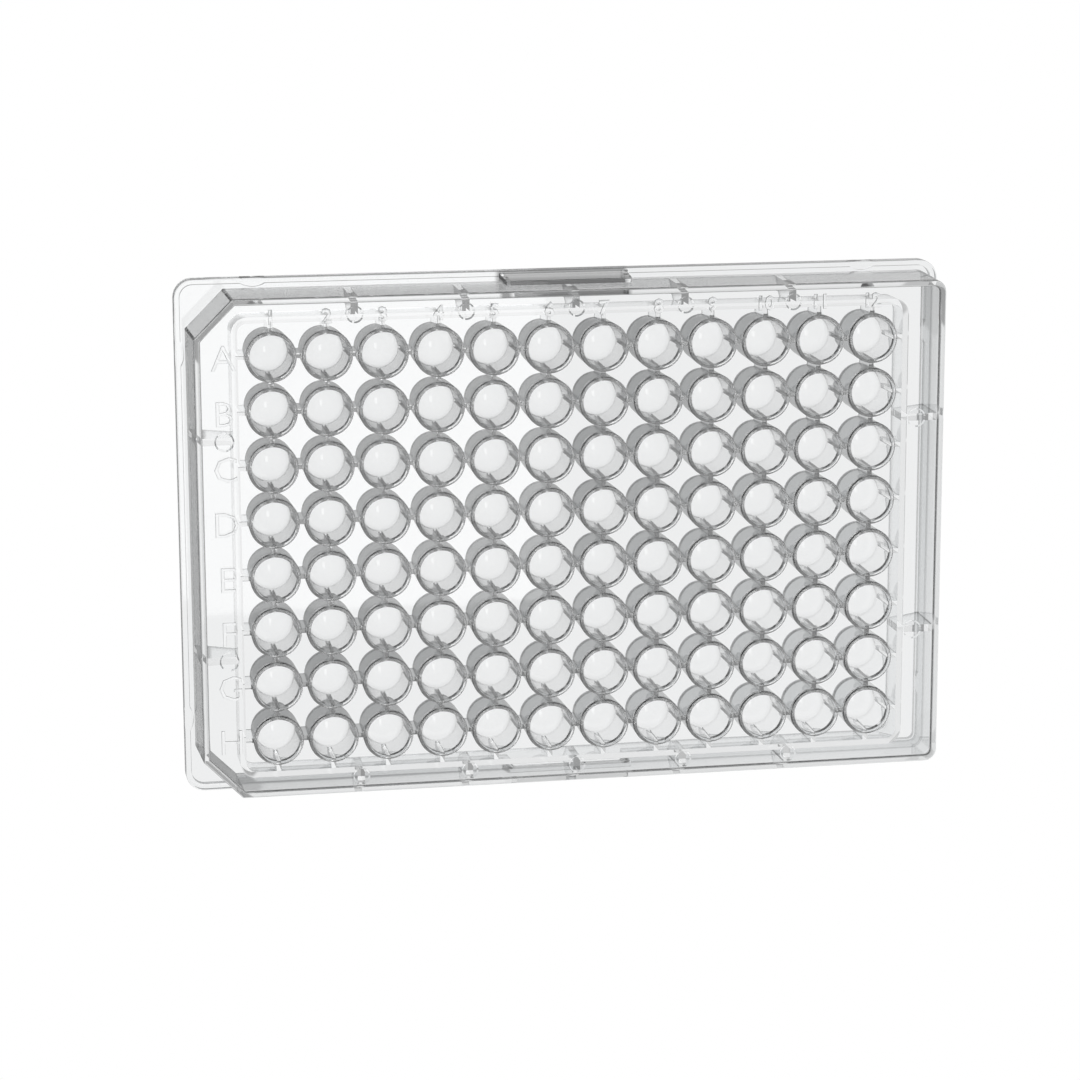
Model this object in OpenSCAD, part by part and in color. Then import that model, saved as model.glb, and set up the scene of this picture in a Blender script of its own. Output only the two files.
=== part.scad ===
// Well plate: a 96-well round-bottom microplate, moulded in one piece from clear polystyrene.
// Frame: origin at the centre of the footprint on the table, +X along the columns 1 to 12,
// +Y towards row A and +Z up. All sizes are in millimetres.

/* [Footprint] */
// Length of the base
base_l = 127.76; // [127.26:0.01:128.26]
// Width of the base
base_w = 85.48; // [84.98:0.01:85.98]
// Height of the plate, from the table to the top of the lip
plate_h = 14.35; // [14:0.05:14.8]
// Radius of the base's corners
base_r = 3.18; // [2:0.02:4.5]

/* [Flange] */
// Height of the flange round the base
flange_h = 2.41; // [2.1:0.01:2.8]
// Thickness of the flange's upright wall
flange_wall = 1; // [0.8:0.05:1.4]
// Thickness of the flange's level ledge
ledge_t = 1.1; // [0.9:0.05:1.4]
// Height of the raised length in the middle of each long side
tab_h = 7.6; // [5:0.1:8.5]
// Length of the raised length, at the table
tab_l = 21.8; // [14:0.1:30]
// How far its face leans in over its height
tab_lean = 1; // [0.4:0.05:1.3]
// Width of an ejector pad inside the flange's wall
pad_w = 4; // [2:0.1:5]
// How far a pad stands in from the flange's wall
pad_depth = 0.55; // [0.3:0.05:0.6]

/* [Body] */
// Length of the body at the table
body_l = 124.6; // [124:0.1:125]
// Width of the body at the table
body_w = 82.3; // [81.8:0.1:82.7]
// Length of the body at the top
top_l = 123.5; // [123:0.1:123.9]
// Width of the body at the top
top_w = 81.7; // [81.3:0.1:81.8]
// Leg of the chamfer at corners A1 and H1
chamfer = 6.3; // [4:0.1:8]
// Radius of the corners at A12 and H12
body_r = 2; // [1.5:0.1:3]
// Thickness of the body's wall
body_wall = 0.95; // [0.8:0.05:1.2]
// How far the deck lies below the lip
deck_drop = 0.5; // [0.3:0.05:1]
// Thickness of the deck
deck_t = 1; // [0.8:0.05:1.5]

/* [Wells] */
// Number of columns
columns = 12; // [12:1:12]
// Number of rows
rows = 8; // [8:1:8]
// Spacing of the wells
pitch = 9; // [9:1:9]
// Inner diameter of a well at its mouth
well_top_d = 6.96; // [6.8:0.02:7.1]
// Inner diameter of a well where its round bottom starts
bowl_d = 6.76; // [6.6:0.02:6.8]
// Depth of a well, to the bottom of its bowl
well_depth = 10.5; // [10:0.05:10.9]
// Thickness of a well's wall at the bottom of its bowl
bowl_floor = 1.15; // [0.9:0.05:1.4]
// Outer diameter of a well's tube at its rim
tube_top_d = 8.2; // [8:0.05:8.4]
// Outer diameter of a well's tube where its round end starts
tube_bottom_d = 7.84; // [7.7:0.02:7.9]

/* [Ribs under the deck] */
// Length of the rib frame round the wells, inside
frame_l = 109.5; // [108.6:0.1:110]
// Width of the rib frame round the wells, inside
frame_w = 73.7; // [72.6:0.1:74]
// Thickness of the rib frame
frame_t = 1; // [0.8:0.05:1.2]
// Height of the frame's lower edge above the table
frame_z = 7; // [6:0.1:9]
// Thickness of the webs between the wells
web_t = 0.8; // [0.6:0.05:1]
// Thickness of the ribs from the frame to the body's wall
rib_t = 1.2; // [0.8:0.05:1.4]

/* [Hidden] */
$fn = 64;

overlap = 0.02;
corner_steps = 8;
deck_z = plate_h - deck_drop - deck_t;
bowl_z = plate_h - well_depth + bowl_d / 2;
tube_z = plate_h - well_depth - bowl_floor + tube_bottom_d / 2;
field_l = (columns - 1) * pitch;
field_w = (rows - 1) * pitch;
frame_r = 1.6;
long_ribs = [-4, -2, 0, 2, 4] * pitch;
short_ribs = [-2, 2] * pitch;
long_pads = 51;
short_pads = 30.5;

// Points of the body's outline: chamfers at -X, round corners of radius r at +X
function arc(x, y, r, from) =
    [for (i = [0:corner_steps]) let (a = from + 90 * i / corner_steps)
        [x + r * cos(a), y + r * sin(a)]];
function outline(l, w, c, r) = concat(
    arc(l / 2 - r, w / 2 - r, r, 0),
    [[c - l / 2, w / 2], [-l / 2, w / 2 - c]],
    [[-l / 2, c - w / 2], [c - l / 2, -w / 2]],
    arc(l / 2 - r, r - w / 2, r, 270));

module round_plate(l, w, r, h) {
    linear_extrude(h) union() {
        square([l - 2 * r, w], center = true);
        square([l, w - 2 * r], center = true);
        for (x = [-1, 1], y = [-1, 1])
            translate([x * (l / 2 - r), y * (w / 2 - r)]) circle(r);
    }
}

// A prism on the body's outline, inset by d, that narrows from the table to the lip
module body_prism(d, below = 0, above = 0) {
    grow = below / plate_h;
    l = body_l + (body_l - top_l) * grow - 2 * d;
    w = body_w + (body_w - top_w) * grow - 2 * d;
    end_l = top_l - (body_l - top_l) * above / plate_h - 2 * d;
    end_w = top_w - (body_w - top_w) * above / plate_h - 2 * d;
    c = chamfer - d * (2 - sqrt(2));
    translate([0, 0, -below])
        linear_extrude(plate_h + below + above, scale = [end_l / l, end_w / w], slices = 1)
            polygon(outline(l, w, c, body_r - d));
}

// The raised length of flange on a long side, whose face and ends lean in, inset by d
module tab(d) {
    run = base_w / 2 - tab_lean;
    foot = d > 0 ? -1 : 0;
    lean = tab_lean / tab_h;
    intersection() {
        rotate([90, 0, 90]) linear_extrude(tab_l, center = true)
            polygon([[body_w / 2 - 3, foot], [base_w / 2 - d - lean * foot, foot],
                     [run - d + lean * d, tab_h - d], [body_w / 2 - 3, tab_h - d]]);
        rotate([90, 0, 0]) linear_extrude(base_w * 2, center = true)
            polygon([[d - tab_l / 2, foot], [tab_l / 2 - d, foot],
                     [tab_l / 2 - d - tab_lean / 2, tab_h - d],
                     [d + tab_lean / 2 - tab_l / 2, tab_h - d]]);
    }
}

module both_sides() {
    children();
    mirror([0, 1, 0]) children();
}

module at_wells() {
    for (c = [0:columns - 1], r = [0:rows - 1])
        translate([c * pitch - field_l / 2, field_w / 2 - r * pitch, 0]) children();
}

// Flange and body wall, hollow underneath and open at the top
module shell() {
    difference() {
        union() {
            round_plate(base_l, base_w, base_r, flange_h);
            body_prism(0);
            both_sides() tab(0);
        }
        translate([0, 0, -1])
            round_plate(base_l - 2 * flange_wall, base_w - 2 * flange_wall,
                        base_r - flange_wall, flange_h - ledge_t + 1);
        body_prism(body_wall, 1, 1);
        both_sides() tab(body_wall);
    }
}

// Ejector pads, low arcs on the inside of the flange's wall, two on each side
module pads() {
    r = (pad_w * pad_w / 4 + pad_depth * pad_depth) / (2 * pad_depth);
    centre = flange_wall + pad_depth - r;
    intersection() {
        round_plate(base_l, base_w, base_r, flange_h - ledge_t + overlap);
        for (a = [-1, 1], b = [-1, 1]) {
            translate([a * (base_l / 2 - centre), b * short_pads, -1]) cylinder(h = flange_h, r = r);
            translate([a * long_pads, b * (base_w / 2 - centre), -1]) cylinder(h = flange_h, r = r);
        }
    }
}

module deck() {
    l = top_l - body_wall;
    w = top_w - body_wall;
    c = chamfer - body_wall * (1 - sqrt(2) / 2);
    translate([0, 0, deck_z]) linear_extrude(deck_t)
        polygon(outline(l, w, c, body_r - body_wall / 2));
}

// Rib frame that hangs from the deck round the field of wells
module frame() {
    translate([0, 0, frame_z]) difference() {
        round_plate(frame_l + 2 * frame_t, frame_w + 2 * frame_t, frame_r + frame_t,
                    deck_z - frame_z + overlap);
        translate([0, 0, -1])
            round_plate(frame_l, frame_w, frame_r, deck_z - frame_z + 3);
    }
}

// Webs that join each well to its neighbours and to the frame
module webs() {
    h = deck_z - frame_z + overlap;
    l = frame_l + frame_t;
    w = frame_w + frame_t;
    for (r = [0:rows - 1])
        translate([-l / 2, field_w / 2 - r * pitch - web_t / 2, frame_z]) cube([l, web_t, h]);
    for (c = [0:columns - 1])
        translate([c * pitch - field_l / 2 - web_t / 2, -w / 2, frame_z]) cube([web_t, w, h]);
}

// Upright rib from the frame out to the body's wall, deeper at the wall
module rib(from, to) {
    rotate([90, 0, 0]) linear_extrude(rib_t, center = true)
        polygon([[from, frame_z], [to, flange_h + 1], [to, deck_z + overlap],
                 [from, deck_z + overlap]]);
}

module ribs() {
    for (x = long_ribs, side = [90, 270])
        translate([x, 0, 0]) rotate([0, 0, side])
            rib(frame_w / 2 + frame_t / 2, body_w / 2 - body_wall / 2 - 0.2);
    for (y = short_ribs, side = [0, 180])
        translate([0, y, 0]) rotate([0, 0, side])
            rib(frame_l / 2 + frame_t / 2, body_l / 2 - body_wall / 2 - 0.3);
}

// A drafted peg with a round end below, of diameter d at height z and end_d at height end_z
module round_peg(d, z, end_d, end_z) {
    translate([0, 0, z]) {
        sphere(d = d);
        cylinder(h = end_z - z, d1 = d, d2 = end_d);
    }
}

module tube() {
    round_peg(tube_bottom_d, tube_z, tube_top_d, plate_h);
}

// The space inside a well, carried on above its mouth at the same slope
module well_space() {
    slope = (well_top_d - bowl_d) / (plate_h - bowl_z);
    round_peg(bowl_d, bowl_z, well_top_d + slope, plate_h + 1);
}

module well_plate() {
    color("whitesmoke", 0.5) difference() {
        union() {
            shell();
            pads();
            deck();
            frame();
            webs();
            ribs();
            at_wells() tube();
        }
        at_wells() well_space();
    }
}

well_plate();
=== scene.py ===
"""A clear 96-well plate: one polystyrene moulding on a white table.

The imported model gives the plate's box. The moulding is modelled afresh inside that box, with the
rounded edges, ejector marks and raised lettering of the real one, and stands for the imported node.
The moulding is built in millimetres and brought to metres when it is whole.
"""

from __future__ import annotations

import logging
import math
from collections.abc import Callable, Iterable
from dataclasses import astuple, dataclass, field
from enum import Enum

import bmesh
import bpy
from mathutils import Euler, Matrix, Vector

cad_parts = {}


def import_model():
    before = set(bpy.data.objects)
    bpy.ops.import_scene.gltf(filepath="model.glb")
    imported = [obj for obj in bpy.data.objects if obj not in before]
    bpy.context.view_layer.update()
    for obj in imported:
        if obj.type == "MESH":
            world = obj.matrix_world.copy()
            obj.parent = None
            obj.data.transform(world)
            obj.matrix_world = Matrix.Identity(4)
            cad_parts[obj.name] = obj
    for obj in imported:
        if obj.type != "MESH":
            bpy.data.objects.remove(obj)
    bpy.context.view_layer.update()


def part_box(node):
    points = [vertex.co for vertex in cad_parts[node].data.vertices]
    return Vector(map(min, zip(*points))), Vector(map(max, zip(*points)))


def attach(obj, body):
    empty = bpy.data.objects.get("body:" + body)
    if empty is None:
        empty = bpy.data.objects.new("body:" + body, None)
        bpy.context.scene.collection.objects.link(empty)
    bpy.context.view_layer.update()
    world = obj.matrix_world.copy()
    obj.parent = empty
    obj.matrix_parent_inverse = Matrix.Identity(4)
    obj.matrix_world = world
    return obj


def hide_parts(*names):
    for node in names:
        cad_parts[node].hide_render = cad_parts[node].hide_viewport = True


LOG = logging.getLogger("well_plate")
NODE = "well_plate"
SLOT = "clear_polystyrene"
BODY = "root"
MM = 0.001
OVERLAP = 0.02
BELOW_TABLE = -1.0
CLEARANCE = 1.0
CORNER_STEPS = 8
SHARP_ANGLE = 20.0


# ---------------------------------------------------------------- modelling steps


class Join(Enum):
    """How one solid is combined with another."""

    ADD = "UNION"
    CUT = "DIFFERENCE"
    SHARE = "INTERSECT"


class Bench:
    """The modelling steps that every form of the moulding shares."""

    @staticmethod
    def take(piece: bpy.types.Object) -> None:
        """Make a piece the only selected object, and the active one.

        Args:
            piece: the object to select.
        """
        bpy.ops.object.select_all(action="DESELECT")
        piece.select_set(True)
        bpy.context.view_layer.objects.active = piece

    @staticmethod
    def added(name: str, scale: tuple[float, float, float] = (1, 1, 1)) -> bpy.types.Object:
        """Name and size the primitive that was just added.

        Args:
            name: the piece's name.
            scale: how much longer, wider and taller it becomes.

        Returns:
            The new object, with its place and size in its mesh.
        """
        piece = bpy.context.active_object
        piece.name = piece.data.name = name
        piece.scale = scale
        Bench.take(piece)
        bpy.ops.object.transform_apply(location=True, rotation=True, scale=True)
        return piece

    @staticmethod
    def pick(piece: bpy.types.Object, kind: str, wanted: Callable[..., bool]) -> None:
        """Enter edit mode and select the corners, edges or faces that pass a test.

        Args:
            piece: the object to edit.
            kind: VERT, EDGE or FACE.
            wanted: takes one corner, edge or face and says whether it is selected.
        """
        Bench.take(piece)
        bpy.ops.object.mode_set(mode="EDIT")
        bpy.ops.mesh.select_mode(type=kind)
        bpy.ops.mesh.select_all(action="DESELECT")
        shape = bmesh.from_edit_mesh(piece.data)
        for element in {"VERT": shape.verts, "EDGE": shape.edges, "FACE": shape.faces}[kind]:
            if wanted(element):
                element.select_set(True)
        shape.select_flush_mode()
        bmesh.update_edit_mesh(piece.data)

    @staticmethod
    def faces_up(face: bmesh.types.BMFace) -> bool:
        """Whether a face looks upwards."""
        return face.normal.z > math.cos(math.radians(SHARP_ANGLE))

    @staticmethod
    def done() -> None:
        """Leave edit mode."""
        bpy.ops.object.mode_set(mode="OBJECT")

    @staticmethod
    def box(name: str, low: tuple[float, float, float], high: tuple[float, float, float]) -> bpy.types.Object:
        """Add an upright block.

        Args:
            name: the piece's name.
            low: its lowest corner.
            high: its highest corner.

        Returns:
            The new block.
        """
        middle = [(a + b) / 2 for a, b in zip(low, high, strict=True)]
        bpy.ops.mesh.primitive_cube_add(size=1, location=middle)
        return Bench.added(name, [b - a for a, b in zip(low, high, strict=True)])

    @staticmethod
    def disc(name: str, radius: float, low: float, high: float, sides: int,
             head_radius: float | None = None) -> bpy.types.Object:
        """Add an upright round block on the Z axis.

        Args:
            name: the piece's name.
            radius: its radius at the foot.
            low: the height of its foot.
            high: the height of its head.
            sides: the number of its sides.
            head_radius: its radius at the head, or None where it doesn't taper.

        Returns:
            The new block.
        """
        bpy.ops.mesh.primitive_cone_add(
            vertices=sides, radius1=radius, radius2=radius if head_radius is None else head_radius,
            depth=high - low, location=(0, 0, (low + high) / 2))
        return Bench.added(name)

    @staticmethod
    def round_edges(piece: bpy.types.Object, radius: float, steps: int, low: float, high: float) -> None:
        """Round every sharp edge that lies level between two heights.

        Args:
            piece: the object to edit.
            radius: the rounding's radius.
            steps: the number of faces across it.
            low: the lowest height of such an edge.
            high: the highest height of such an edge.
        """
        sharp = math.radians(SHARP_ANGLE)

        def level(edge: bmesh.types.BMEdge) -> bool:
            """Whether the edge is sharp and lies between the heights."""
            inside = all(low <= corner.co.z <= high for corner in edge.verts)
            return inside and len(edge.link_faces) == 2 and edge.calc_face_angle() > sharp

        Bench.pick(piece, "EDGE", level)
        bpy.ops.mesh.bevel(offset=radius, segments=steps, profile=0.5, affect="EDGES", clamp_overlap=False)
        Bench.done()

    @staticmethod
    def copies(piece: bpy.types.Object, places: Iterable[Matrix]) -> bpy.types.Object:
        """Put a copy of a piece at each place and join the copies, which don't touch.

        Args:
            piece: the piece to repeat. It is used up.
            places: how each copy is turned and moved.

        Returns:
            One object that holds all the copies.
        """
        made = []
        for place in places:
            twin = piece.copy()
            twin.data = piece.data.copy()
            twin.data.transform(place)
            bpy.context.scene.collection.objects.link(twin)
            made.append(twin)
        bpy.data.objects.remove(piece)
        return Bench.joined(made)

    @staticmethod
    def joined(pieces: list[bpy.types.Object]) -> bpy.types.Object:
        """Join pieces that don't touch into one object.

        Args:
            pieces: the pieces. They are used up.

        Returns:
            The one object.
        """
        Bench.take(pieces[0])
        for piece in pieces:
            piece.select_set(True)
        if len(pieces) > 1:
            bpy.ops.object.join()
        return bpy.context.active_object

    @staticmethod
    def combine(piece: bpy.types.Object, how: Join, other: bpy.types.Object) -> None:
        """Combine a piece with another solid.

        Args:
            piece: the solid that is changed.
            how: add the other, cut it away, or keep what both share.
            other: the other solid. It is used up.
        """
        Bench.take(piece)
        step = piece.modifiers.new("combine", "BOOLEAN")
        step.object, step.operation, step.solver = other, how.value, "MANIFOLD"
        bpy.ops.object.modifier_apply(modifier=step.name)
        if piece.modifiers:
            LOG.error("%s couldn't be combined with %s", piece.name, other.name)
            piece.modifiers.clear()
        bpy.data.objects.remove(other)


@dataclass(frozen=True)
class Outline:
    """A rectangle about the origin with rounded corners, of which those at -X may be cut across."""

    length: float
    width: float
    radius: float
    cut: float = 0.0

    def inset(self, depth: float) -> Outline:
        """The outline that lies a given depth inside this one."""
        cut = self.cut - depth * (2 - math.sqrt(2)) if self.cut else 0.0
        return Outline(self.length - 2 * depth, self.width - 2 * depth, self.radius - depth, cut)

    def towards(self, other: Outline, share: float) -> Outline:
        """The outline that lies a share of the way from this one to another."""
        return Outline(*(a + (b - a) * share for a, b in zip(astuple(self), astuple(other), strict=True)))

    def prism(self, name: str, low: float, high: float, head: Outline | None = None) -> bpy.types.Object:
        """Raise the outline into a prism.

        Args:
            name: the piece's name.
            low: the height of its foot.
            high: the height of its head.
            head: the outline at its head, or None where its sides stand upright.

        Returns:
            The new prism, closed at both ends.
        """
        bpy.ops.mesh.primitive_plane_add(size=1, location=(0, 0, low))
        piece = Bench.added(name, (self.length, self.width, 1))
        for side in (-1, 1):
            cut = self.cut if side < 0 else 0.0
            Bench.pick(piece, "VERT", lambda corner, side=side: corner.co.x * side > 0)
            bpy.ops.mesh.bevel(offset=cut or self.radius, segments=1 if cut else CORNER_STEPS, profile=0.5,
                               affect="VERTICES", clamp_overlap=False)
            Bench.done()
        Bench.pick(piece, "FACE", lambda _: True)
        bpy.ops.mesh.extrude_region_move(TRANSFORM_OT_translate={"value": (0, 0, high - low)})
        if head is not None:
            draft = (head.length / self.length, head.width / self.width, 1)
            bpy.ops.transform.resize(value=draft, center_override=(0, 0, high))
        bpy.ops.mesh.select_all(action="SELECT")
        bpy.ops.mesh.normals_make_consistent(inside=False)
        Bench.done()
        return piece


def turned(angle: float) -> Matrix:
    """A turn about the Z axis by an angle in degrees."""
    return Matrix.Rotation(math.radians(angle), 4, "Z")


def moved(x: float, y: float, z: float = 0.0) -> Matrix:
    """A move without a turn."""
    return Matrix.Translation((x, y, z))


# ---------------------------------------------------------------- forms of the moulding


@dataclass
class Body:
    """The drafted wall with its lip, and the deck that closes it a little below the lip."""

    height: float
    foot: Outline = Outline(124.6, 82.3, 2.0, 6.3)
    head: Outline = Outline(123.5, 81.7, 2.0, 6.3)
    wall: float = 0.95
    deck_drop: float = 0.5
    deck_thickness: float = 1.0
    lip_round: float = 0.2
    deck_fillet: float = 0.15

    @property
    def deck_top(self) -> float:
        """The height of the deck's upper face."""
        return self.height - self.deck_drop

    @property
    def deck_base(self) -> float:
        """The height of the deck's lower face."""
        return self.deck_top - self.deck_thickness

    def at(self, z: float) -> Outline:
        """The outline of the wall's outside at a height."""
        return self.foot.towards(self.head, z / self.height)

    def solid(self) -> bpy.types.Object:
        """Model the body full, with the deck sunk inside its rounded lip.

        Returns:
            The body, solid from the table to the deck.
        """
        piece = self.at(0).prism("plate_moulding", 0, self.height, self.at(self.height))
        Bench.pick(piece, "FACE", Bench.faces_up)
        bpy.ops.mesh.inset(thickness=self.wall)
        bpy.ops.mesh.extrude_region_move(TRANSFORM_OT_translate={"value": (0, 0, -self.deck_drop)})
        Bench.done()
        Bench.round_edges(piece, self.lip_round, 3, self.height - OVERLAP, self.height + OVERLAP)
        Bench.round_edges(piece, self.deck_fillet, 2, self.deck_top - OVERLAP, self.deck_top + OVERLAP)
        return piece

    def cavity(self) -> bpy.types.Object:
        """Model the space under the deck, open at the table."""
        foot, head = (self.at(z).inset(self.wall) for z in (BELOW_TABLE, self.deck_base))
        return foot.prism("body_cavity", BELOW_TABLE, self.deck_base, head)


@dataclass
class Flange:
    """The flange round the base, its raised lengths on the long sides, and its ejector pads."""

    length: float
    width: float
    corner: float = 3.18
    height: float = 2.41
    wall: float = 1.0
    ledge: float = 1.1
    edge_round: float = 0.3
    foot_round: float = 0.12
    tab_height: float = 7.6
    tab_length: float = 21.8
    tab_lean: float = 1.0
    tab_root: float = 38.0
    tab_wall: float = 0.95
    tab_round: float = 0.3
    pad_width: float = 4.0
    pad_depth: float = 0.55
    pad_sides: int = 48
    pad_places: tuple[float, float] = (51.0, 30.5)

    @property
    def outline(self) -> Outline:
        """The footprint on the table."""
        return Outline(self.length, self.width, self.corner)

    def solid(self) -> bpy.types.Object:
        """Model the flange full, with its edges rounded.

        Returns:
            The flange, solid across the whole footprint.
        """
        piece = self.outline.prism("flange", 0, self.height)
        Bench.round_edges(piece, self.edge_round, 3, self.height - OVERLAP, self.height + OVERLAP)
        Bench.round_edges(piece, self.foot_round, 2, -OVERLAP, OVERLAP)
        return piece

    def cavity(self) -> bpy.types.Object:
        """Model the space under the ledge."""
        return self.outline.inset(self.wall).prism("flange_cavity", BELOW_TABLE, self.height - self.ledge)

    def tab(self, name: str, depth: float = 0.0, low: float = 0.0) -> bpy.types.Object:
        """Model one raised length on each long side, with a face and ends that lean in.

        Args:
            name: the piece's name.
            depth: how far it lies inside the outer surface, which makes it a cavity.
            low: the height of its foot.

        Returns:
            Both raised lengths.
        """
        top = self.tab_height - depth
        lean = self.tab_lean / self.tab_height * (top - low)
        half = self.tab_length / 2 - depth
        reach = self.width / 2 - depth - self.tab_lean / self.tab_height * low
        middle = (self.tab_root + reach) / 2
        piece = Bench.box(name, (-half, self.tab_root, low), (half, reach, top))
        Bench.pick(piece, "VERT", lambda corner: corner.co.z > self.height)
        bpy.ops.transform.resize(value=(1 - lean / 2 / half, 1, 1), center_override=(0, 0, top))
        Bench.done()
        Bench.pick(piece, "VERT", lambda corner: corner.co.z > self.height and corner.co.y > middle)
        bpy.ops.transform.translate(value=(0, -lean, 0))
        Bench.done()
        if not depth:
            Bench.round_edges(piece, self.tab_round, 3, low + OVERLAP, top + OVERLAP)
        return Bench.copies(piece, (turned(0), turned(180)))

    def pads(self) -> bpy.types.Object:
        """Model the low half-moon pads on the inside of the flange's wall.

        Returns:
            All eight pads.
        """
        radius = (self.pad_width ** 2 / 4 + self.pad_depth ** 2) / (2 * self.pad_depth)
        centre = self.wall + self.pad_depth - radius
        x, y = self.length / 2 - centre, self.width / 2 - centre
        along, across = self.pad_places
        pad = Bench.disc("flange_pads", radius, OVERLAP, self.height - self.ledge + OVERLAP, self.pad_sides)
        pads = Bench.copies(pad, [moved(a * sx, b * sy) for a, b in ((x, across), (along, y))
                                  for sx in (-1, 1) for sy in (-1, 1)])
        limit = self.outline.inset(self.wall / 2).prism("pad_limit", BELOW_TABLE, self.height)
        Bench.combine(pads, Join.SHARE, limit)
        return pads


@dataclass
class Wells:
    """The field of round-bottomed wells, each in a tube whose rim stands up to the lip's height.

    The sides and rings are those of the balls that the wells' bottoms are made from. The plugs that
    clear the wells start at a share of the bowls' height.
    """

    height: float
    columns: int = 12
    rows: int = 8
    pitch: float = 9.0
    mouth_radius: float = 3.48
    bowl_radius: float = 3.38
    depth: float = 10.5
    bowl_floor: float = 1.15
    rim_radius: float = 4.1
    foot_radius: float = 3.92
    rim_round: float = 0.3
    plug_start: float = 0.9
    sides: int = 36
    rings: int = 14

    @property
    def column_places(self) -> list[float]:
        """Where the columns lie along X, from 1 to 12."""
        return [(c - (self.columns - 1) / 2) * self.pitch for c in range(self.columns)]

    @property
    def row_places(self) -> list[float]:
        """Where the rows lie along Y, from A to H."""
        return [((self.rows - 1) / 2 - r) * self.pitch for r in range(self.rows)]

    @property
    def places(self) -> list[Matrix]:
        """Where each well stands."""
        return [moved(x, y) for y in self.row_places for x in self.column_places]

    def cup(self, radius: float, foot: float, rim_radius: float) -> bpy.types.Object:
        """Model an open cup from the lower half of a ball, whose edge is drawn up to the rim.

        Args:
            radius: the radius of its round end.
            foot: the height of its lowest point.
            rim_radius: its radius at the rim.

        Returns:
            The cup, with no thickness.
        """
        middle = foot + radius
        bpy.ops.mesh.primitive_uv_sphere_add(segments=self.sides, ring_count=self.rings, radius=radius,
                                             location=(0, 0, middle))
        piece = Bench.added("well_tubes")
        Bench.pick(piece, "VERT", lambda corner: corner.co.z > middle + OVERLAP)
        bpy.ops.mesh.delete(type="VERT")
        Bench.done()
        Bench.pick(piece, "EDGE", lambda edge: len(edge.link_faces) == 1)
        bpy.ops.mesh.extrude_region_move(TRANSFORM_OT_translate={"value": (0, 0, self.height - middle)})
        widen = rim_radius / radius
        bpy.ops.transform.resize(value=(widen, widen, 1), center_override=(0, 0, self.height))
        Bench.done()
        return piece

    def tubes(self) -> bpy.types.Object:
        """Model one well from two cups joined at a rounded rim, and repeat it over the field.

        Returns:
            All the wells.
        """
        foot = self.height - self.depth
        inside = self.cup(self.bowl_radius, foot, self.mouth_radius)
        Bench.pick(inside, "FACE", lambda _: True)
        bpy.ops.mesh.flip_normals()
        Bench.done()
        outside = self.cup(self.foot_radius, foot - self.bowl_floor, self.rim_radius)
        piece = Bench.joined([outside, inside])
        Bench.pick(piece, "EDGE", lambda edge: len(edge.link_faces) == 1)
        bpy.ops.mesh.bridge_edge_loops()
        Bench.done()
        Bench.round_edges(piece, self.rim_round, 3, self.height - OVERLAP, self.height + OVERLAP)
        return Bench.copies(piece, self.places)

    def openings(self) -> bpy.types.Object:
        """Model the plugs that clear the deck and the webs from inside the tubes.

        Returns:
            A plug for each well.
        """
        radius = (self.bowl_radius + self.foot_radius) / 2
        low = self.height - self.depth + self.bowl_radius * self.plug_start
        plug = Bench.disc("well_plugs", radius, low, self.height + CLEARANCE, self.sides)
        return Bench.copies(plug, self.places)


@dataclass
class Underside:
    """The rib frame round the wells, the webs between them, and the ribs out to the body's wall.

    The ribs' places are counted in wells from the middle, and their outer ends lie in the wall, at a
    share of its thickness.
    """

    body: Body
    wells: Wells
    frame_length: float = 109.5
    frame_width: float = 73.7
    frame_thickness: float = 1.0
    frame_corner: float = 1.6
    low: float = 7.0
    web: float = 0.8
    rib: float = 1.2
    rib_foot: float = 3.41
    rib_end: float = 0.7
    edge_round: float = 0.15
    long_ribs: tuple[int, ...] = (-4, -2, 0, 2, 4)
    short_ribs: tuple[int, ...] = (-2, 2)

    @property
    def top(self) -> float:
        """The height at which the ribs end inside the deck."""
        return self.body.deck_base + OVERLAP

    def frame(self) -> bpy.types.Object:
        """Model the frame that hangs from the deck round the wells.

        Returns:
            The frame.
        """
        inside = Outline(self.frame_length, self.frame_width, self.frame_corner)
        piece = inside.inset(-self.frame_thickness).prism("rib_frame", self.low, self.top)
        space = inside.prism("frame_space", self.low - CLEARANCE, self.top + CLEARANCE)
        Bench.combine(piece, Join.CUT, space)
        return piece

    def webs(self, length: float, places: list[Matrix]) -> bpy.types.Object:
        """Model one web along X, and repeat it.

        Args:
            length: the web's length.
            places: how each web is turned and moved.

        Returns:
            All the webs that run one way.
        """
        reach, half = length / 2, self.web / 2
        piece = Bench.box("webs", (-reach, -half, self.low), (reach, half, self.top))
        Bench.round_edges(piece, self.edge_round, 2, self.low - OVERLAP, self.low + OVERLAP)
        return Bench.copies(piece, places)

    def ribs(self) -> bpy.types.Object:
        """Model a rib that deepens towards the wall, for each side, and repeat it.

        Returns:
            All the ribs.
        """
        pitch, half = self.wells.pitch, self.rib / 2
        sides = (
            (self.frame_width, self.body.foot.width, self.long_ribs, (90, 270)),
            (self.frame_length, self.body.foot.length, self.short_ribs, (0, 180)))
        made = []
        for inner, outer, numbers, turns in sides:
            start = (inner + self.frame_thickness) / 2
            end = outer / 2 - self.body.wall * self.rib_end
            middle = Vector(((start + end) / 2, 0, (self.low + self.top) / 2))
            piece = Bench.box("ribs", (start, -half, self.low), (end, half, self.top))
            Bench.pick(piece, "VERT", lambda corner, m=middle: corner.co.x > m.x and corner.co.z < m.z)
            bpy.ops.transform.translate(value=(0, 0, self.rib_foot - self.low))
            Bench.done()
            made.append(Bench.copies(piece, [turned(turn) @ moved(0, n * pitch)
                                             for turn in turns for n in numbers]))
        return Bench.joined(made)


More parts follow.
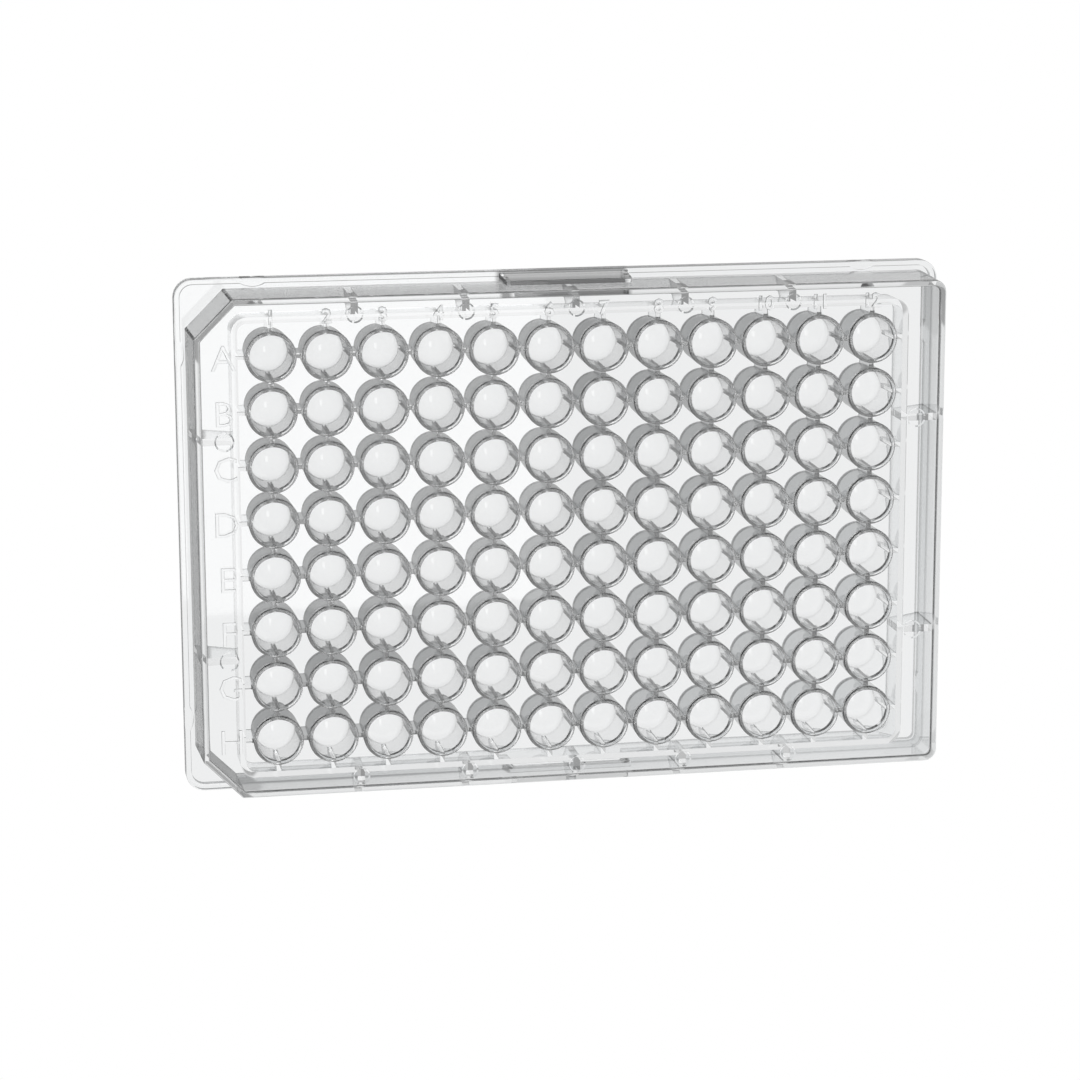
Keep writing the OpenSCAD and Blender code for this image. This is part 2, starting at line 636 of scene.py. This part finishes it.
@dataclass(frozen=True)
class Lettering:
    """The size and the section of one kind of raised mark.

    Attributes:
        size: its font size.
        offset: how far the edges of its strokes are moved outwards.
        relief: how far it stands up.
        slope: how much of that is the sloped edge.
    """

    size: float
    offset: float
    relief: float
    slope: float


@dataclass
class Marks:
    """The raised row letters and column numbers, and the shallow ejector marks on the deck.

    The ejector marks' places along the rows and the sides are counted in wells from the middle.
    """

    body: Body
    wells: Wells
    letter: Lettering = Lettering(size=5.9, offset=-0.14, relief=0.2, slope=0.13)
    letter_x: float = -57.1
    number: Lettering = Lettering(size=3.1, offset=0.0, relief=0.22, slope=0.15)
    number_y: float = 37.85
    pin_radius: float = 1.4
    side_pin_radius: float = 1.6
    pin_depth: float = 0.2
    pin_slope: float = 0.25
    pin_sides: int = 32
    row_pins_y: tuple[float, float] = (37.9, -38.3)
    row_pins_at: tuple[int, ...] = (-4, -2, 0, 2, 4)
    side_pins_x: tuple[float, float] = (-57.2, 57.2)
    side_pins_at: tuple[int, ...] = (-2, 2)
    weld: float = 0.001

    def glyph(self, text: str, style: Lettering, x: float, y: float) -> bpy.types.Object:
        """Model one raised mark, standing a little into the deck.

        Args:
            text: the letter or number.
            style: its kind of lettering.
            x: the middle of the mark along X.
            y: the middle of the mark along Y.

        Returns:
            The mark as a closed mesh.
        """
        bpy.ops.object.text_add(location=(0, 0, 0))
        piece = bpy.context.active_object
        piece.data.body, piece.data.size = text, style.size
        piece.data.extrude, piece.data.offset = style.relief - style.slope, style.offset
        piece.data.bevel_depth, piece.data.bevel_resolution = style.slope, 1
        piece.data.resolution_u = 2
        Bench.take(piece)
        bpy.ops.object.convert(target="MESH")
        piece = bpy.context.active_object
        Bench.pick(piece, "FACE", lambda _: True)
        bpy.ops.mesh.remove_doubles(threshold=self.weld)
        Bench.done()
        low, high = (Vector(f(v.co[i] for v in piece.data.vertices) for i in range(3)) for f in (min, max))
        middle = (low + high) / 2
        piece.data.transform(moved(x - middle.x, y - middle.y, self.body.deck_top))
        return piece

    def letters(self) -> bpy.types.Object:
        """Model the row letters and the column numbers.

        Returns:
            All twenty marks.
        """
        made = [self.glyph("ABCDEFGH"[row], self.letter, self.letter_x, y)
                for row, y in enumerate(self.wells.row_places)]
        made += [self.glyph(str(column + 1), self.number, x, self.number_y)
                 for column, x in enumerate(self.wells.column_places)]
        return Bench.joined(made)

    def pins(self) -> bpy.types.Object:
        """Model the discs that press the ejector marks into the deck, with sloped edges.

        Returns:
            A disc for each mark.
        """
        low, high = self.body.deck_top - self.pin_depth, self.body.deck_top + self.pin_depth
        pitch = self.wells.pitch
        small, large = (
            Bench.disc("pin_marks", radius - self.pin_slope, low, high, self.pin_sides,
                       head_radius=radius + self.pin_slope)
            for radius in (self.pin_radius, self.side_pin_radius))
        rows = [moved(n * pitch, y) for y in self.row_pins_y for n in self.row_pins_at]
        sides = [moved(x, n * pitch) for x in self.side_pins_x for n in self.side_pins_at]
        return Bench.joined([Bench.copies(small, rows), Bench.copies(large, sides)])


# ---------------------------------------------------------------- finish


class Amount:
    """A number that a shader works out, written as Python arithmetic."""

    def __init__(self, sheet: NodeSheet, socket: bpy.types.NodeSocket) -> None:
        """Wrap one output socket of a node sheet."""
        self.sheet = sheet
        self.socket = socket

    def _math(self, operation: str, *values: object) -> Amount:
        """Add a Math node and give its result."""
        inputs = dict(enumerate(values))
        return self.sheet.amount("ShaderNodeMath", {"operation": operation}, inputs)

    def __add__(self, other: object) -> Amount:
        """Add a number or an amount."""
        return self._math("ADD", self, other)

    __radd__ = __add__

    def __sub__(self, other: object) -> Amount:
        """Take a number or an amount away."""
        return self._math("SUBTRACT", self, other)

    def __rsub__(self, other: object) -> Amount:
        """Take this amount away from a number."""
        return self._math("SUBTRACT", other, self)

    def __mul__(self, other: object) -> Amount:
        """Multiply by a number or an amount."""
        return self._math("MULTIPLY", self, other)

    __rmul__ = __mul__

    def __pow__(self, other: object) -> Amount:
        """Raise to a power."""
        return self._math("POWER", self, other)

    def __rpow__(self, other: object) -> Amount:
        """Raise a number to this power."""
        return self._math("POWER", other, self)

    def larger(self, other: object) -> Amount:
        """The larger of this and another."""
        return self._math("MAXIMUM", self, other)


class NodeSheet:
    """The node tree of one material or world."""

    def __init__(self, owner: bpy.types.Material | bpy.types.World) -> None:
        """Clear the owner's tree and write on it.

        Args:
            owner: the material or world whose nodes these are.
        """
        owner.use_nodes = True
        self.tree = owner.node_tree
        self.tree.nodes.clear()

    def node(self, kind: str, settings: dict[str, object] | None = None,
             values: dict[str | int, object] | None = None) -> bpy.types.Node:
        """Add one node.

        Args:
            kind: the node's type.
            settings: its settings, which are set first.
            values: the value or the link of each socket, by name or number.

        Returns:
            The new node.
        """
        made = self.tree.nodes.new(kind)
        for name, value in (settings or {}).items():
            setattr(made, name, value)
        for name, value in (values or {}).items():
            source = value.socket if isinstance(value, Amount) else value
            if isinstance(source, bpy.types.NodeSocket):
                self.tree.links.new(source, made.inputs[name])
            else:
                made.inputs[name].default_value = source
        return made

    def amount(self, kind: str, settings: dict[str, object] | None = None,
               values: dict[str | int, object] | None = None, output: str | int = 0) -> Amount:
        """Add one node and wrap one of its outputs."""
        return Amount(self, self.node(kind, settings, values).outputs[output])

    def vector(self, operation: str, *values: object) -> bpy.types.NodeSocket:
        """Add a Vector Math node and give the vector that it works out."""
        return self.node("ShaderNodeVectorMath", {"operation": operation}, dict(enumerate(values))).outputs[0]


@dataclass(frozen=True)
class ClearPolystyrene:
    """Clear moulded polystyrene: bright, almost colourless, with the faint waves of a moulded skin.

    The sizes of its patches, waves and grain are in metres.
    """

    name: str = SLOT
    tint: tuple[float, float, float] = (0.955, 0.962, 0.965)
    deep_tint: tuple[float, float, float] = (0.935, 0.945, 0.95)
    ior: float = 1.59
    roughness: tuple[float, float] = (0.012, 0.03)
    patch_size: float = 0.02
    wave_size: float = 0.006
    wave_height: float = 0.000004
    grain_size: float = 0.0004
    grain_height: float = 0.0000003

    def noise(self, sheet: NodeSheet, place: bpy.types.NodeSocket, size: float, detail: float) -> Amount:
        """Smooth noise whose features are about a given size in metres."""
        return sheet.amount("ShaderNodeTexNoise", {"noise_dimensions": "3D"},
                            {"Vector": place, "Scale": 1 / size, "Detail": detail}, "Fac")

    def material(self) -> bpy.types.Material:
        """Write the finish as a material.

        Returns:
            The new material.
        """
        made = bpy.data.materials.new(self.name)
        sheet = NodeSheet(made)
        place = sheet.node("ShaderNodeTexCoord").outputs["Object"]
        patches = self.noise(sheet, place, self.patch_size, 3)
        waves = self.noise(sheet, place, self.wave_size, 1)
        grain = self.noise(sheet, place, self.grain_size, 2)
        tint = sheet.node("ShaderNodeMix", {"data_type": "RGBA"},
                          {0: patches, 6: (*self.tint, 1), 7: (*self.deep_tint, 1)}).outputs[2]
        low, high = self.roughness
        height = waves * self.wave_height + grain * self.grain_height
        bump = sheet.node("ShaderNodeBump", {}, {"Strength": 1.0, "Distance": 1.0, "Height": height})
        shader = sheet.node("ShaderNodeBsdfPrincipled", {}, {
            "Base Color": tint, "Roughness": low + (high - low) * patches, "IOR": self.ior,
            "Transmission Weight": 1.0, "Normal": bump.outputs[0]})
        sheet.node("ShaderNodeOutputMaterial", {}, {"Surface": shader.outputs[0]})
        return made


@dataclass
class Moulding:
    """The whole plate, which is one piece of clear plastic."""

    size: Vector
    finish: ClearPolystyrene = field(default_factory=ClearPolystyrene)
    smooth_angle: float = 32.0

    def build(self) -> bpy.types.Object:
        """Model the plate from its forms, and bring it to metres.

        Returns:
            The whole plate, as one closed mesh.
        """
        body = Body(self.size.z)
        flange = Flange(self.size.x, self.size.y)
        wells = Wells(self.size.z)
        under = Underside(body, wells)
        marks = Marks(body, wells)
        plate = body.solid()
        across = under.frame_length + under.frame_thickness
        down = under.frame_width + under.frame_thickness
        steps = (
            (Join.ADD, flange.solid),
            (Join.ADD, lambda: flange.tab("tabs")),
            (Join.CUT, flange.cavity),
            (Join.CUT, body.cavity),
            (Join.CUT, lambda: flange.tab("tab_cavities", flange.tab_wall, BELOW_TABLE)),
            (Join.ADD, flange.pads),
            (Join.ADD, under.frame),
            (Join.ADD, lambda: under.webs(across, [moved(0, y) for y in wells.row_places])),
            (Join.ADD, lambda: under.webs(down, [moved(x, 0) @ turned(90) for x in wells.column_places])),
            (Join.ADD, under.ribs),
            (Join.CUT, wells.openings),
            (Join.ADD, wells.tubes),
            (Join.ADD, marks.letters),
            (Join.CUT, marks.pins))
        for how, make in steps:
            Bench.combine(plate, how, make())
        plate.data.transform(Matrix.Scale(MM, 4))
        return plate

    def dress(self, plate: bpy.types.Object) -> None:
        """Smooth the plate's curves, keep its edges, and give it its finish.

        Args:
            plate: the whole plate.
        """
        Bench.take(plate)
        bpy.ops.object.shade_smooth_by_angle(angle=math.radians(self.smooth_angle))
        even = plate.modifiers.new("even", "WEIGHTED_NORMAL")
        even.keep_sharp = True
        bpy.ops.object.modifier_apply(modifier=even.name)
        plate.data.materials.clear()
        plate.data.materials.append(self.finish.material())

    def place(self) -> bpy.types.Object:
        """Build and dress the plate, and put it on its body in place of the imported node.

        Returns:
            The finished plate.
        """
        plate = self.build()
        self.dress(plate)
        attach(plate, BODY)
        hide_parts(NODE)
        return plate


# ---------------------------------------------------------------- studio


@dataclass(frozen=True)
class StudioCamera:
    """A long lens that looks down on the plate, a little from row A's and column 1's side.

    Its tilt is in degrees, its lens and sensor are in millimetres, and the rest is in metres.
    """

    aim: tuple[float, float, float] = (-0.0049, -0.0015, 0.007)
    tilt: tuple[float, float, float] = (-11.98, -10.55, -0.194)
    distance: float = 0.5404
    lens: float = 108.99
    sensor: float = 36.0
    sight: tuple[float, float] = (0.01, 50.0)

    def place(self) -> None:
        """Add the camera and make it the scene's."""
        made = bpy.data.objects.new("camera", bpy.data.cameras.new("camera"))
        turn = Euler([math.radians(angle) for angle in self.tilt], "XYZ")
        made.rotation_euler = turn
        made.location = Vector(self.aim) + turn.to_matrix() @ Vector((0, 0, self.distance))
        made.data.lens = self.lens
        made.data.sensor_width = self.sensor
        made.data.clip_start, made.data.clip_end = self.sight
        bpy.context.scene.collection.objects.link(made)
        bpy.context.scene.camera = made


@dataclass(frozen=True)
class Surroundings:
    """A white table in a dim room, under one soft lamp.

    The table carries painted shadows: it looks darker to a ray for each mirror reflection it has made,
    and for each skin of plastic past the first two. That painted shade stands for the shadows that the
    plate's walls throw on it, which are deepest at well A1 and faintest at well H12, and hardly reach
    the margin between the wells and the wall. Painted shade makes all of it under the plate a little
    darker than the open table, and a painted shadow makes it darkest under the raised length of flange
    on row A's side. The room seen through plastic has painted shade too, deeper for each reflection.

    Attributes:
        floor_drop: how far the table lies under the plate's foot.
        floor_size: the length of the table's sides.
        floor_white: the table's colour, as it lights the plate.
        dimming: what one mirror reflection leaves of the table's brightness under the painted shadows, at A1
            and at H12.
        dimming_reach: how far from the middle those two values are met, along the diagonal.
        painted_shade_under_plate: how bright the table looks through any plastic.
        margin_height: the height at which a ray counts as inside or outside the margin.
        margin_shift: how far the bright margin is moved from the middle.
        margin_start: the half sides of the rectangle where the margin starts.
        margin_end: the half sides of the rectangle where the margin ends.
        margin_corner: how far out the margin is cut off across its corners.
        margin_share: what one mirror reflection leaves in the margin, where the painted shadows are faint.
        tab_start: the half sides of the rectangle where the raised length starts.
        tab_end: the half sides of the rectangle where the raised length ends.
        tab_painted_shadow: how bright the table is under the raised length.
        blur: how soft the edges of all these are.
        skin_weight: the share of a mirror reflection that one skin of plastic counts for.
        darkest: the least brightness that the painted shadows leave on the table.
        room_painted_shade: what one mirror reflection leaves of the room's brightness.
        zenith: how bright the room is overhead, in reflections.
        horizon: how bright the room is at the horizon, in reflections.
        overhead: how steeply a ray has to rise to meet the room's overhead brightness.
        lamp_power: the lamp's power in watts.
        lamp_size: the lamp's width and length.
        lamp_place: where the lamp hangs.
    """

    floor_drop: float = 0.0002
    floor_size: float = 6.0
    floor_white: float = 0.93
    dimming: tuple[float, float] = (0.2, 0.85)
    dimming_reach: float = 0.085
    painted_shade_under_plate: float = 0.95
    margin_height: float = 0.012
    margin_shift: tuple[float, float, float] = (-0.0005, 0.0005, 0.0)
    margin_start: tuple[float, float, float] = (0.054, 0.036, 0.0)
    margin_end: tuple[float, float, float] = (0.0607, 0.0399, 0.0)
    margin_corner: float = 0.0925
    margin_share: float = 0.93
    tab_start: tuple[float, float, float] = (1.0, 0.04, 0.0)
    tab_end: tuple[float, float, float] = (0.0108, 0.0424, 0.0)
    tab_painted_shadow: float = 0.35
    blur: float = 0.0004
    skin_weight: float = 0.3
    darkest: float = 0.34
    room_painted_shade: float = 0.6
    zenith: float = 0.3
    horizon: float = 0.25
    overhead: float = 0.9
    lamp_power: float = 0.22
    lamp_size: tuple[float, float] = (0.17, 0.4)
    lamp_place: tuple[float, float, float] = (0.03, 0.04, 0.65)

    def outside(self, sheet: NodeSheet, distance: Amount) -> Amount:
        """Go from 0 to 1 where a distance passes zero."""
        return sheet.amount("ShaderNodeMapRange", {}, {
            "Value": distance, "From Min": -self.blur, "From Max": self.blur})

    def framed(self, sheet: NodeSheet, place: bpy.types.NodeSocket,
               start: tuple[float, float, float], end: tuple[float, float, float]) -> Amount:
        """Tell how surely a place lies between two rectangles round the middle, from 0 to 1.

        Args:
            sheet: the node sheet.
            place: the place.
            start: the half sides of the inner rectangle.
            end: the half sides of the outer rectangle.

        Returns:
            1 between the rectangles, and 0 elsewhere.
        """
        folded = sheet.vector("ABSOLUTE", place)
        passed = []
        for limits in (start, end):
            sides = sheet.node("ShaderNodeSeparateXYZ", {}, {0: sheet.vector("SUBTRACT", folded, limits)})
            most = Amount(sheet, sides.outputs["X"]).larger(Amount(sheet, sides.outputs["Y"]))
            passed.append(self.outside(sheet, most))
        return (passed[0] - passed[1]).larger(0)

    def margin(self, sheet: NodeSheet, place: bpy.types.NodeSocket) -> Amount:
        """Tell how surely a ray to the table came through the plate's margin, from 0 to 1.

        Args:
            sheet: the node sheet.
            place: where the ray meets the table.

        Returns:
            1 for a ray through the margin, and 0 for any other.
        """
        back = sheet.node("ShaderNodeNewGeometry").outputs["Incoming"]
        rise = sheet.amount("ShaderNodeSeparateXYZ", {}, {0: back}, "Z")
        crossing = sheet.node("ShaderNodeVectorMath", {"operation": "SCALE"},
                              {0: back, "Scale": self.margin_height * rise ** -1}).outputs[0]
        for more in (place, self.margin_shift):
            crossing = sheet.vector("ADD", crossing, more)
        corner = sheet.amount("ShaderNodeVectorMath", {"operation": "DOT_PRODUCT"},
                              {0: sheet.vector("ABSOLUTE", crossing), 1: (1, 1, 0)}, "Value")
        cut = self.outside(sheet, corner - self.margin_corner)
        return self.framed(sheet, crossing, self.margin_start, self.margin_end) * (1 - cut)

    def white(self, sheet: NodeSheet) -> Amount:
        """Work out how bright the white table looks to a ray.

        Args:
            sheet: the node sheet.

        Returns:
            The brightness, where 1 is white, with the painted shadows and painted shade in it.
        """
        path = sheet.node("ShaderNodeLightPath")
        mirrors = Amount(sheet, path.outputs["Glossy Depth"])
        skins = Amount(sheet, path.outputs["Transmission Depth"])
        place = sheet.node("ShaderNodeTexCoord").outputs["Object"]
        across = sheet.amount("ShaderNodeVectorMath", {"operation": "DOT_PRODUCT"},
                              {0: place, 1: (1, -1, 0)}, "Value")
        # Painted shadow: darker towards well A1 and lighter towards well H12, deepened by each mirror
        # reflection and each skin past the first two.
        least, most = self.dimming
        share = sheet.amount("ShaderNodeMapRange", {}, {
            "Value": across, "From Min": -self.dimming_reach, "From Max": self.dimming_reach,
            "To Min": least, "To Max": most})
        # The painted shadow is faint where the ray came through the margin.
        share = share + (self.margin_share - share) * self.margin(sheet, place)
        shade = (share ** (mirrors + self.skin_weight * (skins - 2).larger(0))).larger(self.darkest)
        # Painted shadow: a dark rectangle on the table under the raised length on row A's side.
        facing = sheet.amount("ShaderNodeSeparateXYZ", {}, {0: place}, "Y")
        tab = self.framed(sheet, place, self.tab_start, self.tab_end) * self.outside(sheet, facing)
        # Painted shade: the table looks a little darker through any plastic.
        return shade * (self.painted_shade_under_plate ** skins).larger(self.painted_shade_under_plate) * (1 - (1 - self.tab_painted_shadow) * tab)

    def floor(self) -> None:
        """Lay the white table just under the plate."""
        bpy.ops.object.select_all(action="DESELECT")
        bpy.ops.mesh.primitive_plane_add(size=self.floor_size, location=(0, 0, -self.floor_drop))
        made = Bench.added("floor")
        finish = bpy.data.materials.new("white_floor_painted_shadows")
        sheet = NodeSheet(finish)
        path = sheet.node("ShaderNodeLightPath")
        seen = (Amount(sheet, path.outputs["Is Camera Ray"])
                .larger(Amount(sheet, path.outputs["Is Transmission Ray"]))
                .larger(Amount(sheet, path.outputs["Is Glossy Ray"])))
        lit = sheet.node("ShaderNodeBsdfDiffuse", {}, {"Color": (*[self.floor_white] * 3, 1)})
        # The table's emission carries the painted shadows and painted shade that rays through the plate see.
        plain = sheet.node("ShaderNodeEmission", {}, {"Color": (1, 1, 1, 1), "Strength": self.white(sheet)})
        mixed = sheet.node("ShaderNodeMixShader", {}, {0: seen, 1: lit.outputs[0], 2: plain.outputs[0]})
        sheet.node("ShaderNodeOutputMaterial", {}, {"Surface": mixed.outputs[0]})
        made.data.materials.append(finish)

    def room(self) -> None:
        """Surround the scene with a room that is white as a backdrop, and dim in reflections."""
        world = bpy.data.worlds.new("dim_room")
        sheet = NodeSheet(world)
        direction = sheet.node("ShaderNodeTexCoord").outputs["Generated"]
        upright = sheet.amount("ShaderNodeSeparateXYZ", {}, {0: direction}, "Z")
        graded = sheet.amount("ShaderNodeMapRange", {"interpolation_type": "SMOOTHSTEP"},
                              {"Value": upright, "From Min": 0.0, "From Max": self.overhead,
                               "To Min": self.horizon, "To Max": self.zenith})
        path = sheet.node("ShaderNodeLightPath")
        mirrors = Amount(sheet, path.outputs["Glossy Depth"])
        # Painted shade: the room seen through plastic darkens with each mirror reflection.
        through = Amount(sheet, path.outputs["Is Transmission Ray"]) * self.room_painted_shade ** mirrors
        level = Amount(sheet, path.outputs["Is Camera Ray"]).larger(through).larger(graded)
        sky = sheet.node("ShaderNodeBackground", {}, {"Color": (1, 1, 1, 1), "Strength": level})
        sheet.node("ShaderNodeOutputWorld", {}, {"Surface": sky.outputs[0]})
        bpy.context.scene.world = world

    def lamp(self) -> None:
        """Hang the soft lamp over the plate."""
        light = bpy.data.lights.new("soft_lamp", "AREA")
        light.energy, light.shape = self.lamp_power, "RECTANGLE"
        light.size, light.size_y = self.lamp_size
        made = bpy.data.objects.new("soft_lamp", light)
        made.location = self.lamp_place
        bpy.context.scene.collection.objects.link(made)

    def place(self) -> None:
        """Set the table, the room and the lamp."""
        self.floor()
        self.room()
        self.lamp()


def set_tracing() -> None:
    """Let light pass through all the walls of the plate, and keep the plain view transform."""
    scene = bpy.context.scene
    scene.view_settings.view_transform = "Standard"
    scene.cycles.max_bounces = 32
    scene.cycles.transmission_bounces = 32
    scene.cycles.glossy_bounces = 16


def main() -> None:
    """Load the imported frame, build the plate and its studio, and report each piece."""
    logging.basicConfig(level=logging.INFO, format="%(name)s: %(message)s")
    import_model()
    low, high = (Vector(corner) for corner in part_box(NODE))
    StudioCamera().place()
    Surroundings().place()
    plate = Moulding((high - low) / MM).place()
    triangles = sum(len(face.vertices) - 2 for face in plate.data.polygons)
    LOG.info("%s: %d triangles, replaces %s", plate.name, triangles, NODE)
    set_tracing()


if __name__ == "__main__":
    main()
